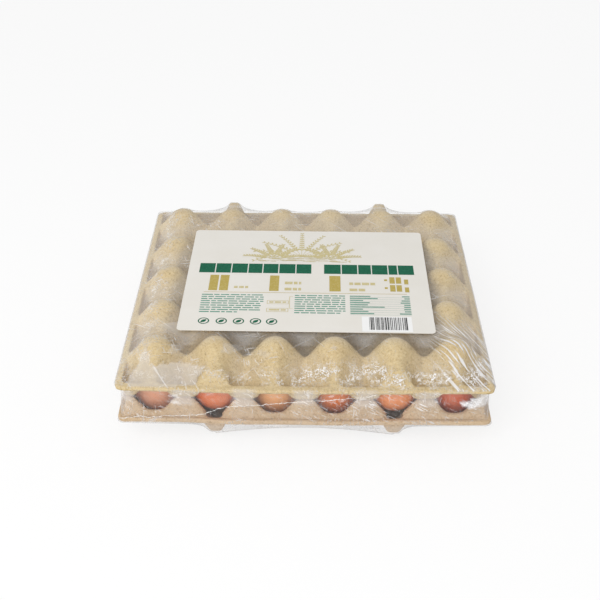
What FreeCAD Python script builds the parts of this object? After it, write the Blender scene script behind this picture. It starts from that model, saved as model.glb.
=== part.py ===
import FreeCAD, Part
import math
import os

# Pack of thirty eggs: two moulded pulp trays face to face, the eggs between them, a clear
# film round both and a printed label on top. Millimetres, +Z up, the front at -Y.
# The origin is the middle of the pack's footprint, on the surface that it stands on.
# The trays are drawn round their seam, the plane in which their posts meet, as z = 0.

# Plan of a tray: cups in straight rows and columns
COLUMNS = 6
ROWS = 5
COLUMN_PITCH = 47.5
ROW_PITCH = 55.0
SIDE_MARGIN = 5.0            # outermost post line to the flange edge, left and right
END_MARGIN = 10.0            # the same at the front and the back

# Moulded sheet
PULP_WALL = 2.0
SHEET_LIFT = 3.0             # upright distance between the two faces of the slanting sheet
CUP_DEPTH = 38.1             # seam to the underside of a cup
SADDLE_DEPTH = 20.4          # seam to the low ridges between neighbouring cups, underside
SADDLE_HALF_WIDTH = 0.8      # half of a ridge's flat
POST_TOP = 8.7               # middle of a post's flat top to its corner on the column side
TIP_RADIUS = 16.0            # rounding under a cup
TIP_ANGLE = 40.0             # degrees of that rounding, from the middle of the cup outwards
TIP_RINGS = 3                # flats that make it up
CUP_FLOOR = 6.0              # half width of a cup's floor inside

# Outer wall, its windows and the flange
POST_TRIM = 1.4              # how far inside the outermost post line the wall meets the seam
FLANGE_DEPTH = 14.4          # seam to the flange
FLANGE_THICKNESS = 2.5
FLANGE_LIP = 4.0             # wall to the flange edge
FLANGE_CORNER = 5.0
SILL_DEPTH = 10.0            # seam to a window's sill
DEEP_SILL_DEPTH = 14.2       # the same over a lug

# Lugs on one side of a tray and low feet on the other, two of each
LUG_COLUMNS = (-1.5, 1.5)    # in column pitches from the middle
LUG_HEIGHT = 16.0            # below the flange
LUG_TIP_HALF_WIDTH = 5.0
LUG_ROOT_HALF_WIDTH = 10.5
LUG_TIP_INSET = 8.5          # flange edge to the front of the tip
LUG_ROOT_INSET = 4.5
LUG_REACH = 24.0             # flange edge to the back of a lug, inside the cup wall
FOOT_HEIGHT = 9.3
FOOT_TOP_HALF_WIDTH = 6.2
FOOT_ROOT_HALF_WIDTH = 14.0
FOOT_TOP_INSET = 13.5
FOOT_ROOT_INSET = 4.4

# Egg, medium size
EGG_LENGTH = 54.0
EGG_WIDTH = 42.0
EGG_BLUNT_SHARE = 0.44       # share of the length from the widest ring to the blunt end
EGG_SIDES = 12
EGG_RINGS = (-52, -26, 0, 26, 52)    # degrees of latitude, the pointed end below
EGG_END_LATITUDE = 75        # ring at which the flat facet of each end begins
EGG_END_SHARE = 0.7          # size of that facet to the ring there
EGG_SEAT = 0.3               # clearance between an egg and its cups
EGG_LEAN = 10.0              # degrees, pointed end towards the back
LUG_EGG_LEAN = 55            # most for the eggs that show over the front lugs, as room allows
EGG_SHIFT = 2.0              # how far a leaning egg's widest ring moves to the front
LUG_EGG_SHIFT = 5

# Film and label
FILM_WALL = 0.3
FILM_GAP = 0.3               # film to the trays
FILM_REST = 6.3              # half width of the flat where the film rests on a cup or lug
FILM_SIDE_SAG = 6.0          # how far it dips between the outermost cups, left and right
FILM_END_SAG = 6.0           # the same at the front and the back
FILM_LUG_RIDGE = 8.5         # flange to the film's ridge between the two front lugs
FILM_CORNER_RISE = 8.0       # flange to the middle of the film's slope at a corner
FILM_FLAT = 1e-6             # four points of the film this near to one plane make one face
LABEL_LENGTH = 207.0
LABEL_WIDTH = 168.0
LABEL_THICKNESS = 0.25
LABEL_CORNER = 3.5
LABEL_RIGHT = 1.2            # label centre from the pack's centre
LABEL_FORWARD = 16.7
LABEL_TURN = -0.46           # degrees

# Worked out from the sizes above
side_x = COLUMNS * COLUMN_PITCH / 2 + SIDE_MARGIN
side_y = ROWS * ROW_PITCH / 2 + END_MARGIN
seam_x = COLUMNS * COLUMN_PITCH / 2 - POST_TRIM
seam_y = ROWS * ROW_PITCH / 2 - POST_TRIM
foot_x = side_x - FLANGE_LIP
foot_y = side_y - FLANGE_LIP
flange_low = -FLANGE_DEPTH - FLANGE_THICKNESS
seam_height = CUP_DEPTH + FILM_GAP + FILM_WALL
half_column = COLUMN_PITCH / 2
half_row = ROW_PITCH / 2

# A slanting side of a cup faces this way in plan, towards the post between four cups
diagonal = math.hypot(half_column, half_row)
normal_x = half_row / diagonal
normal_y = half_column / diagonal
post_distance = normal_x * half_column + normal_y * half_row
saddle_reach = normal_x * half_column + normal_y * SADDLE_HALF_WIDTH
seam_reach = post_distance - normal_x * POST_TOP
egg_side_saddle = SADDLE_DEPTH - SHEET_LIFT
post_slope = (seam_reach - saddle_reach) / egg_side_saddle

cup_centres = [
    ((column - (COLUMNS - 1) / 2) * COLUMN_PITCH, (row - (ROWS - 1) / 2) * ROW_PITCH)
    for row in range(ROWS)
    for column in range(COLUMNS)
]


def flat_face(points):
    return Part.Face(Part.makePolygon([FreeCAD.Vector(*p) for p in points + points[:1]]))


def flat_loft(sections):
    """Solid through sections of as many corners each, whose sides in between are all flat."""
    faces = [flat_face(sections[0]), flat_face(sections[-1])]
    for low, high in zip(sections, sections[1:]):
        for k in range(len(low)):
            faces.append(flat_face([low[k - 1], low[k], high[k], high[k - 1]]))
    solid = Part.makeSolid(Part.makeShell(faces))
    if solid.Volume < 0:
        solid.reverse()
    return solid


def box(half_x, y_low, y_high, z_low, z_high):
    """Block centred left to right, between two planes each way."""
    corner = FreeCAD.Vector(-half_x, y_low, z_low)
    return Part.makeBox(2 * half_x, y_high - y_low, z_high - z_low, corner)


def solid_of(shape):
    """The one solid of a finished boolean, with its flat faces merged."""
    merged = shape.removeSplitter()
    return merged.Solids[0] if len(merged.Solids) == 1 else merged


def octagon(half_x, half_y, reach, z):
    """Section of a cup: sides at half_x and half_y, slanting sides at reach from its axis."""
    y_end = (reach - normal_x * half_x) / normal_y
    x_end = (reach - normal_y * half_y) / normal_x
    corner = [(half_x, -y_end), (half_x, y_end), (x_end, half_y), (-x_end, half_y)]
    corner += [(-x, -y) for x, y in corner]
    return [(x, y, z) for x, y in corner]


def rectangle(half_x, half_y, z):
    return [(-half_x, -half_y, z), (half_x, -half_y, z), (half_x, half_y, z), (-half_x, half_y, z)]


def rounded_rectangle(half_x, half_y, radius, z):
    """A rectangle with round corners, as four straight edges and four arcs."""
    edges = []
    for turn in range(4):
        a, b = (half_x, half_y) if turn % 2 == 0 else (half_y, half_x)
        diagonal_point = radius * math.sqrt(0.5)
        side = Part.LineSegment(
            FreeCAD.Vector(a, radius - b, z), FreeCAD.Vector(a, b - radius, z)
        ).toShape()
        arc = Part.Arc(
            FreeCAD.Vector(a, b - radius, z),
            FreeCAD.Vector(a - radius + diagonal_point, b - radius + diagonal_point, z),
            FreeCAD.Vector(a - radius, b, z),
        ).toShape()
        for edge in (side, arc):
            edge.rotate(FreeCAD.Vector(0, 0, 0), FreeCAD.Vector(0, 0, 1), 90 * turn)
            edges.append(edge)
    return Part.Wire(edges)


def cup_underside():
    """Outside of one cup below the ridges: a round tip in flats, then flanks up to the ridges."""
    sections = []
    for ring in range(1, TIP_RINGS + 1):
        angle = math.radians(TIP_ANGLE * ring / TIP_RINGS)
        radius = TIP_RADIUS * math.sin(angle)
        rise = TIP_RADIUS * (1 - math.cos(angle)) if ring > 1 else 0.0
        sections.append(octagon(radius, radius, radius, -CUP_DEPTH + rise))
    sections.append(octagon(half_column, half_row, saddle_reach, -SADDLE_DEPTH))
    return flat_loft(sections)


def cup_hollow():
    """Inside of one cup below the ridges, from its floor."""
    floor = octagon(CUP_FLOOR, CUP_FLOOR, CUP_FLOOR, PULP_WALL - CUP_DEPTH)
    ridges = octagon(half_column, half_row, saddle_reach, -egg_side_saddle)
    return flat_loft([floor, ridges])


def post(low, high, shift):
    """Four-sided post from below the ridges to above the seam; shift lowers its slanting faces."""
    def section(z):
        gap = post_distance - (saddle_reach + post_slope * (z + shift + egg_side_saddle))
        along, across = gap / normal_x, gap / normal_y
        return [(along, 0, z), (0, across, z), (-along, 0, z), (0, -across, z)]
    return flat_loft([section(low), section(high)])


def at_cups(shape):
    copies = []
    for x, y in cup_centres:
        copy = shape.copy()
        copy.translate(FreeCAD.Vector(x, y, 0))
        copies.append(copy)
    return copies


def at_posts(shape):
    """A copy at every corner of every cup's cell, the outer wall's half posts among them."""
    copies = []
    for column in range(COLUMNS + 1):
        for row in range(ROWS + 1):
            copy = shape.copy()
            place = FreeCAD.Vector((column - COLUMNS / 2) * COLUMN_PITCH, (row - ROWS / 2) * ROW_PITCH, 0)
            copy.translate(place)
            copies.append(copy)
    return copies


def wall_body(inset, low, high):
    """Drafted block in the outer wall, inset from its outer face, straight beyond seam and flange."""
    sections = [rectangle(foot_x - inset, foot_y - inset, z) for z in (low, -FLANGE_DEPTH)]
    sections += [rectangle(seam_x - inset, seam_y - inset, z) for z in (0.0, high)]
    return flat_loft(sections[:3] if high == 0 else sections)


def flange_plate():
    face = Part.Face(rounded_rectangle(side_x, side_y, FLANGE_CORNER, flange_low))
    return face.extrude(FreeCAD.Vector(0, 0, FLANGE_THICKNESS))


def nib(root_half, tip_half, root_inset, tip_inset, back_inset, top, bottom, edge):
    """Tapered nib on the cup wall: edge is the flange edge's distance from the tray's middle."""
    def section(half, inset, z):
        return [
            (-half, -edge + inset, z), (half, -edge + inset, z),
            (half, -edge + back_inset, z), (-half, -edge + back_inset, z),
        ]
    return flat_loft([section(tip_half, tip_inset, bottom), section(root_half, root_inset, top)])


def at_lug_columns(shape, back=False):
    copies = []
    for column in LUG_COLUMNS:
        copy = shape.copy()
        copy.translate(FreeCAD.Vector(column * COLUMN_PITCH, 0, 0))
        if back:
            copy.rotate(FreeCAD.Vector(0, 0, 0), FreeCAD.Vector(0, 0, 1), 180)
        copies.append(copy)
    return copies


def make_tray():
    """A tray with its cups down and its lugs to the front, made as one sheet of pulp."""
    beyond = 1.0
    ridge_x = COLUMNS * half_column
    ridge_y = ROWS * half_row
    flank = (flange_low + SADDLE_DEPTH) / (CUP_DEPTH - SADDLE_DEPTH)
    bevel = flat_loft([
        rectangle(ridge_x, ridge_y, -SADDLE_DEPTH),
        rectangle(ridge_x + half_column * flank, ridge_y + half_row * flank, flange_low),
    ])
    body = wall_body(0.0, flange_low, 0.0).fuse([bevel, flange_plate()])

    # The posts are hollow from below, under a roof, and inside the outer wall
    inside = wall_body(PULP_WALL, -SADDLE_DEPTH - beyond, 0.0)
    post_hollow = post(-SADDLE_DEPTH - beyond, -PULP_WALL, SHEET_LIFT)
    body = body.cut([hollow.common(inside) for hollow in at_posts(post_hollow)])
    lug_bottom = flange_low - LUG_HEIGHT
    lug = nib(LUG_ROOT_HALF_WIDTH, LUG_TIP_HALF_WIDTH, LUG_ROOT_INSET, LUG_TIP_INSET,
              LUG_REACH, flange_low, lug_bottom, side_y)
    foot = nib(FOOT_ROOT_HALF_WIDTH, FOOT_TOP_HALF_WIDTH, FOOT_ROOT_INSET, FOOT_TOP_INSET,
               LUG_REACH, flange_low, flange_low - FOOT_HEIGHT, side_y)
    body = body.fuse(at_cups(cup_underside()) + at_lug_columns(lug) + at_lug_columns(foot, back=True))

    # The eggs' room: between the posts, inside the wall, and out through it above the sills
    room = wall_body(PULP_WALL, -CUP_DEPTH, beyond)
    room = room.common(box(ridge_x, -ridge_y, ridge_y, -egg_side_saddle, beyond))
    open_above = box(side_x, -side_y, side_y, -SILL_DEPTH, beyond)
    deep = box(half_column, -side_y, -ridge_y + half_row, -DEEP_SILL_DEPTH, 0.0)
    room = room.fuse([open_above] + at_lug_columns(deep))
    room = room.cut(at_posts(post(-egg_side_saddle - beyond, 2 * beyond, 0.0)))
    pocket = nib(
        LUG_ROOT_HALF_WIDTH - PULP_WALL, LUG_TIP_HALF_WIDTH - PULP_WALL,
        LUG_ROOT_INSET + PULP_WALL, LUG_TIP_INSET + PULP_WALL, LUG_REACH,
        -DEEP_SILL_DEPTH, lug_bottom + PULP_WALL, side_y,
    )
    tray = body.cut([room] + at_cups(cup_hollow()) + at_lug_columns(pocket))
    return solid_of(tray)


def cup_faces():
    """The faces that can stop an egg in its cup, each as an outward normal and an offset."""
    floor = -CUP_DEPTH + PULP_WALL
    faces = [((0.0, 0.0, -1.0), -floor)]

    def add(plan_x, plan_y, reach_low, low, reach_high, high):
        run = reach_high - reach_low
        rise = high - low
        length = math.hypot(run, rise)
        normal = (plan_x * rise / length, plan_y * rise / length, -run / length)
        faces.append((normal, (reach_low * rise - low * run) / length))

    for sx in (-1, 1):
        for sy in (-1, 1):
            add(sx * normal_x, sy * normal_y, CUP_FLOOR, floor, saddle_reach, -egg_side_saddle)
            add(sx * normal_x, sy * normal_y, saddle_reach, -egg_side_saddle, seam_reach, 0.0)
        add(sx, 0.0, CUP_FLOOR, floor, half_column, -egg_side_saddle)
        add(0.0, sx, CUP_FLOOR, floor, half_row, -egg_side_saddle)
    return faces


def egg_room(lean, shift):
    """Lowest place of a leaning egg's widest ring, clear of its cup, and highest, under the other."""
    axis = (0.0, math.sin(math.radians(lean)), -math.cos(math.radians(lean)))
    blunt = EGG_LENGTH * EGG_BLUNT_SHARE
    lowest, highest = -CUP_DEPTH, CUP_DEPTH
    for normal, offset in cup_faces():
        for side in (1, -1):
            along = normal[0] * axis[0] + normal[1] * axis[1] + side * normal[2] * axis[2]
            half_length = EGG_LENGTH - blunt if along > 0 else blunt
            reach = math.sqrt((half_length * along) ** 2 + (EGG_WIDTH / 2) ** 2 * (1 - along**2))
            room = offset - reach + normal[1] * shift
            if side > 0:
                lowest = max(lowest, (room - EGG_SEAT) / normal[2])
            else:
                highest = min(highest, -room / normal[2])
    return lowest, highest


def lug_egg_seat():
    """The most lean and shift, up to their named values, at which the egg fits between its cups."""
    for lean in range(LUG_EGG_LEAN, 0, -5):
        for shift in range(LUG_EGG_SHIFT, 0, -1):
            lowest, highest = egg_room(lean, shift)
            if lowest <= highest:
                return lean, shift
    return 0, 0


def make_egg(lean, shift):
    """Egg with its pointed end down, leaning back, standing round its own widest ring."""
    blunt = EGG_LENGTH * EGG_BLUNT_SHARE
    rings = []
    for latitude in EGG_RINGS:
        half_length = blunt if latitude > 0 else EGG_LENGTH - blunt
        radius = EGG_WIDTH / 2 * math.cos(math.radians(latitude))
        rings.append((radius, half_length * math.sin(math.radians(latitude))))
    end_radius = EGG_WIDTH / 2 * math.cos(math.radians(EGG_END_LATITUDE)) * EGG_END_SHARE
    rings = [(end_radius, blunt - EGG_LENGTH)] + rings + [(end_radius, blunt)]
    turns = [2 * math.pi * k / EGG_SIDES for k in range(EGG_SIDES)]
    egg = flat_loft([[(r * math.cos(t), r * math.sin(t), z) for t in turns] for r, z in rings])
    egg.rotate(FreeCAD.Vector(0, 0, 0), FreeCAD.Vector(1, 0, 0), lean)
    egg.translate(FreeCAD.Vector(0, -shift, egg_room(lean, shift)[0]))
    return egg


def rest_lines(count, pitch):
    """Where the film's folds cross a row of cups: both sides of each rest, and midway between."""
    lines = []
    for cup in range(count):
        centre = (cup - (count - 1) / 2) * pitch
        lines += [centre - FILM_REST, centre + FILM_REST]
        if cup < count - 1:
            lines.append(centre + pitch / 2)
    return lines


def film_side(offset, ridge):
    """Points of the taut film over the cups of the lower tray, drawn as if they pointed up."""
    edge_x, edge_y = side_x + offset, side_y + offset
    top = CUP_DEPTH + offset
    rim = -flange_low + offset
    rest_x, rest_y = rest_lines(COLUMNS, COLUMN_PITCH), rest_lines(ROWS, ROW_PITCH)
    last_x, last_y = rest_x[-1], rest_y[-1]
    middle_x, middle_y = last_x - FILM_REST - half_column, last_y - FILM_REST - half_row
    lug_line = -side_y + LUG_TIP_INSET - offset
    lug_top = LUG_HEIGHT + rim
    xs = [-edge_x] + rest_x + [edge_x]
    ys = [-edge_y, lug_line] + rest_y + [edge_y]

    def height(x, y):
        if abs(x) == edge_x or abs(y) == edge_y:
            return rim
        row_y = max(y, -last_y)
        between_rows = row_y in rest_y[2::3]
        between_columns = x in rest_x[2::3]
        beside = max(0.0, (abs(x) - middle_x) / (last_x - middle_x))
        before = max(0.0, (abs(row_y) - middle_y) / (last_y - middle_y))
        z = top - FILM_SIDE_SAG * beside * between_rows - FILM_END_SAG * before * between_columns
        if y < -last_y:
            z = rim + (z - rim) * (edge_y + y) / (edge_y - last_y)
            from_lug = abs(abs(x) - LUG_COLUMNS[1] * COLUMN_PITCH)
            if from_lug < FILM_REST + offset:
                z = lug_top
            elif abs(x) < LUG_COLUMNS[1] * COLUMN_PITCH:
                z = max(z, rim + ridge)
        return z

    points = [[(x, y, height(x, y)) for y in ys] for x in xs]
    return points, (middle_x, middle_y)


def film_faces(points, plateau, turned):
    """Flat faces of one side of the film; turned puts it above the seam, lugs to the back."""
    def place(point):
        x, y, z = point
        return (x, -y, z) if turned else (x, y, -z)

    faces = []
    last_x, last_y = points[-2][0][0], points[0][-2][1]
    for left, right in zip(points, points[1:]):
        for k in range(len(left) - 1):
            corners = [left[k], right[k], right[k + 1], left[k + 1]]
            if all(abs(x) <= plateau[0] and abs(y) <= plateau[1] for x, y, _ in corners):
                continue
            if all(abs(x) >= last_x and abs(y) >= last_y for x, y, _ in corners):
                continue
            twist = corners[0][2] + corners[2][2] - corners[1][2] - corners[3][2]
            corners = [place(corner) for corner in corners]
            if abs(twist) < FILM_FLAT:
                faces.append(flat_face(corners))
            elif twist > 0:
                faces += [flat_face([corners[1], corners[3], corners[0]]),
                          flat_face([corners[1], corners[3], corners[2]])]
            else:
                faces += [flat_face([corners[0], corners[2], corners[1]]),
                          flat_face([corners[0], corners[2], corners[3]])]
    for inner, outer in ((points[1], points[0]), (points[-2], points[-1])):
        for direction in (-1, 1):
            loop = [p for p in inner if direction * p[1] >= last_y]
            loop += [p for p in reversed(outer) if direction * p[1] >= last_y]
            middle_x = (inner[0][0] + outer[0][0]) / 2
            middle_y = direction * (last_y + points[0][-1][1]) / 2
            middle = place((middle_x, middle_y, points[0][0][2] + FILM_CORNER_RISE))
            for k in range(len(loop)):
                faces.append(flat_face([middle, place(loop[k - 1]), place(loop[k])]))
    flat = [line for line in points if abs(line[0][0]) <= plateau[0]]
    flat = [[p for p in line if abs(p[1]) <= plateau[1]] for line in flat]
    loop = flat[0] + [line[-1] for line in flat[1:-1]] + flat[-1][::-1]
    loop += [line[0] for line in flat[-2:0:-1]]
    return faces + [flat_face([place(point) for point in loop])]


def wrap_body(offset):
    """What the film is stretched round, offset from the trays, with its corners rounded."""
    below, plateau = film_side(offset, FILM_LUG_RIDGE)
    above, plateau = film_side(offset, 0.0)
    faces = film_faces(below, plateau, False) + film_faces(above, plateau, True)

    # The four upright sides join the rim of the lower side to the rim of the upper one
    for k in (0, -1):
        low = [(x, y, -z) for x, y, z in below[k]]
        high = [(x, -y, z) for x, y, z in above[k]]
        faces.append(flat_face(low + high))
        low = [(line[k][0], line[k][1], -line[k][2]) for line in below]
        high = [(line[-1 - k][0], -line[-1 - k][1], line[-1 - k][2]) for line in above]
        faces.append(flat_face(low + high[::-1]))
    body = Part.makeSolid(Part.makeShell(faces))
    if body.Volume < 0:
        body.reverse()
    top = CUP_DEPTH + offset
    outline = rounded_rectangle(side_x + offset, side_y + offset, FLANGE_CORNER + offset, -top)
    return body.common(Part.Face(outline).extrude(FreeCAD.Vector(0, 0, 2 * top)))


def make_film():
    return solid_of(wrap_body(FILM_GAP + FILM_WALL).cut(wrap_body(FILM_GAP)))


def make_label():
    face = Part.Face(rounded_rectangle(LABEL_LENGTH / 2, LABEL_WIDTH / 2, LABEL_CORNER, 0.0))
    label = face.extrude(FreeCAD.Vector(0, 0, LABEL_THICKNESS))
    label.rotate(FreeCAD.Vector(0, 0, 0), FreeCAD.Vector(0, 0, 1), LABEL_TURN)
    label.translate(FreeCAD.Vector(LABEL_RIGHT, -LABEL_FORWARD, seam_height))
    return label


def save(name, shape):
    """Writes one piece, moved from the seam's height to the pack's own origin."""
    shape.translate(FreeCAD.Vector(0, 0, seam_height))
    shape.exportStep(os.path.join("parts", name + ".step"))
    volume = round(shape.Volume / 1000, 2)
    print(name, "solids", len(shape.Solids), "valid", shape.isValid(), "volume", volume, "cm3")


os.makedirs("parts", exist_ok=True)

lower_tray = make_tray()
upper_tray = lower_tray.copy()
upper_tray.rotate(FreeCAD.Vector(0, 0, 0), FreeCAD.Vector(1, 0, 0), 180)
save("lower_tray", lower_tray)
save("upper_tray", upper_tray)

straight_egg = make_egg(EGG_LEAN, EGG_SHIFT)
lug_egg = make_egg(*lug_egg_seat())
lug_places = [column * COLUMN_PITCH for column in LUG_COLUMNS]
for index, (x, y) in enumerate(cup_centres):
    row, column = divmod(index, COLUMNS)
    over_lug = row == 0 and any(abs(x - place) < half_column for place in lug_places)
    egg = (lug_egg if over_lug else straight_egg).copy()
    egg.translate(FreeCAD.Vector(x, y, 0))
    save(f"egg_row{row + 1}_column{column + 1}", egg)

save("film_wrap", make_film())
save("label", make_label())
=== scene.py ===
# %% [markdown]
# # Thirty eggs in two pulp trays, wrapped in film
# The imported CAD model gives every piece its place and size. This script gives the pieces their
# finish: soft, fibrous pulp, brown eggshell, clear film drawn tight over the cups, and a printed
# paper label. Blender works in metres here, so sizes written in millimetres are multiplied by MM.

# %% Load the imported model
import math
import bpy
import numpy as np
from mathutils import Matrix, Vector


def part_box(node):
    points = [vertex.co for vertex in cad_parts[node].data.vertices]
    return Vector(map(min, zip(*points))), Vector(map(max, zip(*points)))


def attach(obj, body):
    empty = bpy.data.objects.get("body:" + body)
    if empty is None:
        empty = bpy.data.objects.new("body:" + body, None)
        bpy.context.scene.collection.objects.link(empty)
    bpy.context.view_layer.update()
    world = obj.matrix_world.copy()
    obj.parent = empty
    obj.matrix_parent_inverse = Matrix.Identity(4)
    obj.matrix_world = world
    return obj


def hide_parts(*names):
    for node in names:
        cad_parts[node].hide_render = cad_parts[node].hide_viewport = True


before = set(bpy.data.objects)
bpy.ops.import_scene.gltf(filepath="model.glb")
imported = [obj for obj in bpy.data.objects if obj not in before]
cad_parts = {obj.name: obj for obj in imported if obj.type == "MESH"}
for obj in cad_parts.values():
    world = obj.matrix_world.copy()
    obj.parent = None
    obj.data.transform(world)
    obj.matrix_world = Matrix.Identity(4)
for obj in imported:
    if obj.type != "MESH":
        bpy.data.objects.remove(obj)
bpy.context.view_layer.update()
MM = 0.001
SEAM = 38.7 * MM             # height of the plane in which the two trays meet

# %% [markdown]
# ## Two small tools for materials
# Colours are written as sRGB hex values, as a paint chart or a picture editor gives them, and the
# shader wants linear light, so one function turns them. The other function adds a node together
# with its settings and its links, so that each material below reads as a list of its layers.
# Pattern sizes are real ones: a Noise texture's scale is how many features fit in a metre.

# %% Colour and node helpers
def linear(hex_colour):
    channels = [int(hex_colour[k:k + 2], 16) / 255 for k in (1, 3, 5)]
    curve = [c / 12.92 if c <= 0.04045 else ((c + 0.055) / 1.055) ** 2.4 for c in channels]
    return (*curve, 1.0)


def add_node(material, kind, inputs=None, **settings):
    node = material.node_tree.nodes.new(kind)
    for name, value in settings.items():
        setattr(node, name, value)
    for socket, value in (inputs or {}).items():
        if isinstance(value, bpy.types.NodeSocket):
            material.node_tree.links.new(value, node.inputs[socket])
        else:
            node.inputs[socket].default_value = value
    return node


def per_metre(size_mm):
    return 1 / (size_mm * MM)


def new_material(name):
    material = bpy.data.materials.new(name)
    material.use_nodes = True
    return material, material.node_tree.nodes["Principled BSDF"]


COLOUR_A, COLOUR_B, MIXED = 6, 7, 2   # the Mix node's colour sockets go by number

# %% [markdown]
# ## Moulded paper pulp
# Egg trays are sucked out of a slurry of waste paper onto a wire mould and dried. The face is dead
# matt, with fibres and flecks a millimetre or two long, faint clouds where the slurry was thicker,
# and a coarse, felt-like relief. Pulp fibres are finer than the picture's pixels, so the flecks are
# drawn at 1.8 mm. Two batches of paper give two tints: the upper tray is straw, the lower is pinker.

# %% Pulp material
def moulded_pulp(name, straw, pale_fleck, dark_fleck):
    material, surface = new_material(name)
    place = add_node(material, "ShaderNodeTexCoord").outputs["Object"]
    clouds = add_node(material, "ShaderNodeTexNoise", {
        "Vector": place, "Scale": per_metre(22), "Detail": 3.0, "Roughness": 0.6})
    fibres = add_node(material, "ShaderNodeTexNoise", {
        "Vector": place, "Scale": per_metre(1.8), "Detail": 4.0, "Roughness": 0.7, "Distortion": 0.6})
    grit = add_node(material, "ShaderNodeTexVoronoi", {
        "Vector": place, "Scale": per_metre(2.6), "Randomness": 1.0})
    pale = add_node(material, "ShaderNodeMapRange", {
        "Value": fibres.outputs["Fac"], "From Min": 0.5, "From Max": 0.72})
    dark = add_node(material, "ShaderNodeMapRange", {
        "Value": fibres.outputs["Fac"], "From Min": 0.46, "From Max": 0.28})
    cloudy = add_node(material, "ShaderNodeMapRange", {
        "Value": clouds.outputs["Fac"], "From Min": 0.3, "From Max": 0.7, "To Max": 0.5})
    tint = add_node(material, "ShaderNodeMix", {
        "Factor": cloudy.outputs["Result"], COLOUR_A: linear(straw), COLOUR_B: linear(pale_fleck)},
        data_type="RGBA")
    tint = add_node(material, "ShaderNodeMix", {
        "Factor": pale.outputs["Result"], COLOUR_A: tint.outputs[MIXED], COLOUR_B: linear(pale_fleck)},
        data_type="RGBA")
    tint = add_node(material, "ShaderNodeMix", {
        "Factor": dark.outputs["Result"], COLOUR_A: tint.outputs[MIXED], COLOUR_B: linear(dark_fleck)},
        data_type="RGBA")
    felt = add_node(material, "ShaderNodeMath", {
        0: fibres.outputs["Fac"], 1: grit.outputs["Distance"]}, operation="ADD")
    relief = add_node(material, "ShaderNodeBump", {
        "Height": felt.outputs["Value"], "Strength": 0.55, "Distance": 0.5 * MM})
    material.node_tree.links.new(tint.outputs[MIXED], surface.inputs["Base Color"])
    material.node_tree.links.new(relief.outputs["Normal"], surface.inputs["Normal"])
    surface.inputs["Roughness"].default_value = 0.95
    surface.inputs["Specular IOR Level"].default_value = 0.25
    return material


upper_pulp = moulded_pulp("moulded_pulp_straw", "#C9B183", "#DCCAA0", "#9C8456")
lower_pulp = moulded_pulp("moulded_pulp_pinkish", "#C2A98A", "#D3BC9E", "#9F8363")
print("pulp materials:", upper_pulp.name, lower_pulp.name)

# %% [markdown]
# ## The trays
# The CAD tray has flat facets and sharp edges, and a pulp tray has neither. Its mesh is copied and
# remeshed into small even cells, then relaxed, which rounds the ridges between the cups the way
# wet pulp settles on its mould. The outer wall and the flange are relaxed less, so the windows keep
# their corners. Last comes a slow random swell, because no dried tray is straight, and a finer one
# that gives the cups their uneven skin. The relaxing averages each point with its neighbours. The
# front walls also bow down a little between their corners, under the pull of the film.

# %% Mesh tools: read points, relax, swell
def points_of(mesh):
    flat = np.zeros(len(mesh.vertices) * 3)
    mesh.vertices.foreach_get("co", flat)
    return flat.reshape(-1, 3) / MM


def edges_of(mesh):
    flat = np.zeros(len(mesh.edges) * 2, dtype=np.int64)
    mesh.edges.foreach_get("vertices", flat)
    return flat.reshape(-1, 2)


def relax(points, edges, weight, rounds):
    count = len(points)
    neighbours = np.bincount(edges.ravel(), minlength=count)
    for _ in range(rounds):
        for axis in range(3):
            values = points[:, axis]
            total = np.bincount(edges[:, 0], values[edges[:, 1]], count)
            total += np.bincount(edges[:, 1], values[edges[:, 0]], count)
            points[:, axis] = values + weight * (total / neighbours - values)
    return points


def swell(points, size_mm, seed):
    """Smooth random values from -1 to 1, with features of that size."""
    lattice = np.random.default_rng(seed).uniform(-1, 1, (64, 64, 64))
    position = points / size_mm + 17.3
    cell = np.floor(position).astype(int)
    blend = position - cell
    blend = blend * blend * (3 - 2 * blend)
    value = np.zeros(len(points))
    for corner in range(8):
        step = np.array([corner & 1, corner >> 1 & 1, corner >> 2 & 1])
        share = np.prod(np.where(step, blend, 1 - blend), axis=1)
        index = (cell + step) % 64
        value += share * lattice[index[:, 0], index[:, 1], index[:, 2]]
    return value


BOW = 2.2                    # mm, how far the middle of the front walls hangs below their corners
BOW_HALF = 150.0


def front_bow(points):
    """Bows the front walls and flanges down; the cup tips and the rest of the pack stay."""
    to_front = np.clip((-points[:, 1] - 100) / 36, 0, 1)
    near_seam = np.clip((37 - np.abs(points[:, 2] - SEAM / MM)) / 18, 0, 1)
    points[:, 2] -= BOW * np.cos(math.pi / 2 * points[:, 0] / BOW_HALF) ** 2 * to_front * near_seam
    return points


# %% Piece tools: make a mesh object, give it to the model
def finish_piece(piece, material, replaced=()):
    piece.data.materials.clear()
    piece.data.materials.append(material)
    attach(piece, "root")
    if replaced:
        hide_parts(*replaced)


def mesh_piece(name, points_mm, faces, smooth=True):
    mesh = bpy.data.meshes.new(name)
    mesh.from_pydata((np.asarray(points_mm) * MM).tolist(), [], faces)
    mesh.update()
    mesh.polygons.foreach_set("use_smooth", [smooth] * len(mesh.polygons))
    piece = bpy.data.objects.new(name, mesh)
    bpy.context.scene.collection.objects.link(piece)
    return piece


def triangles(mesh):
    return sum(len(face.vertices) - 2 for face in mesh.polygons)


def apply_modifiers(piece):
    graph = bpy.context.evaluated_depsgraph_get()
    mesh = bpy.data.meshes.new_from_object(piece.evaluated_get(graph))
    piece.modifiers.clear()
    piece.data = mesh


# %% Trays out of the CAD trays
CELL = 1.1                   # mm, size of the remeshed cells
LIP = 1.6                    # mm, how far the flange's edge turns towards the seam
TRAY_TRIANGLES = 190_000


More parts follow.
